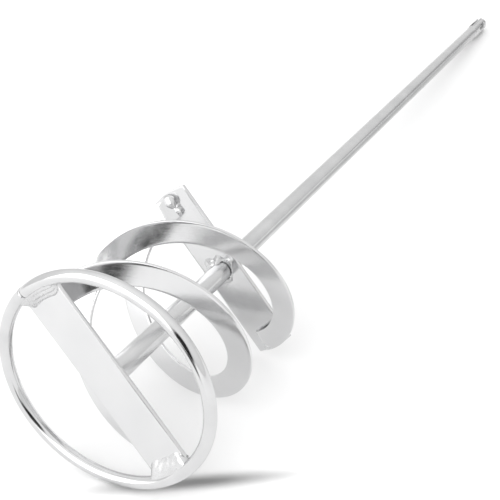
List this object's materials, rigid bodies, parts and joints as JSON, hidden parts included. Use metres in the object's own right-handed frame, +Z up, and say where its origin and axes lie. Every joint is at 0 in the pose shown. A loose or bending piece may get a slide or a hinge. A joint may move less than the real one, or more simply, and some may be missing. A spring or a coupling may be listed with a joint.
{
  "type": "mortar mixing paddle",
  "caption": "Mortar mixing paddle: a long round shaft with a slotted drill shank, and a welded head of flat crossbars, right-handed helical blades and a round hoop.",
  "frame": {"origin": "centre of the shank's end face, on the shaft's axis", "axes": "+Y along the shaft's axis, out of the shank's end; the head with the hoop is at -Y; Z is up as the paddle lies, with the crossbars rolled 49.4 degrees about the shaft"},
  "size_m": [0.1, 0.6, 0.1],
  "materials": {
    "plated_rod": "bright zinc-plated drawn steel rod",
    "plated_wire": "bright zinc-plated bent wire",
    "plated_strip": "bright zinc-plated flat steel strip",
    "weld_metal": "rippled weld bead under the plating"
  },
  "bodies": {
    "root": {"shaft": "plated_rod", "hoop": "plated_wire", "top_crossbar": "plated_strip", "bottom_crossbar": "plated_strip", "blade_1": "plated_strip", "blade_2": "plated_strip", "shaft_collar_weld": "weld_metal", "shaft_base_weld": "weld_metal", "hoop_weld_1": "weld_metal", "hoop_weld_2": "weld_metal", "blade_1_top_weld": "weld_metal", "blade_1_bottom_weld": "weld_metal", "blade_2_top_weld": "weld_metal", "blade_2_bottom_weld": "weld_metal"}
  },
  "joints": []
}
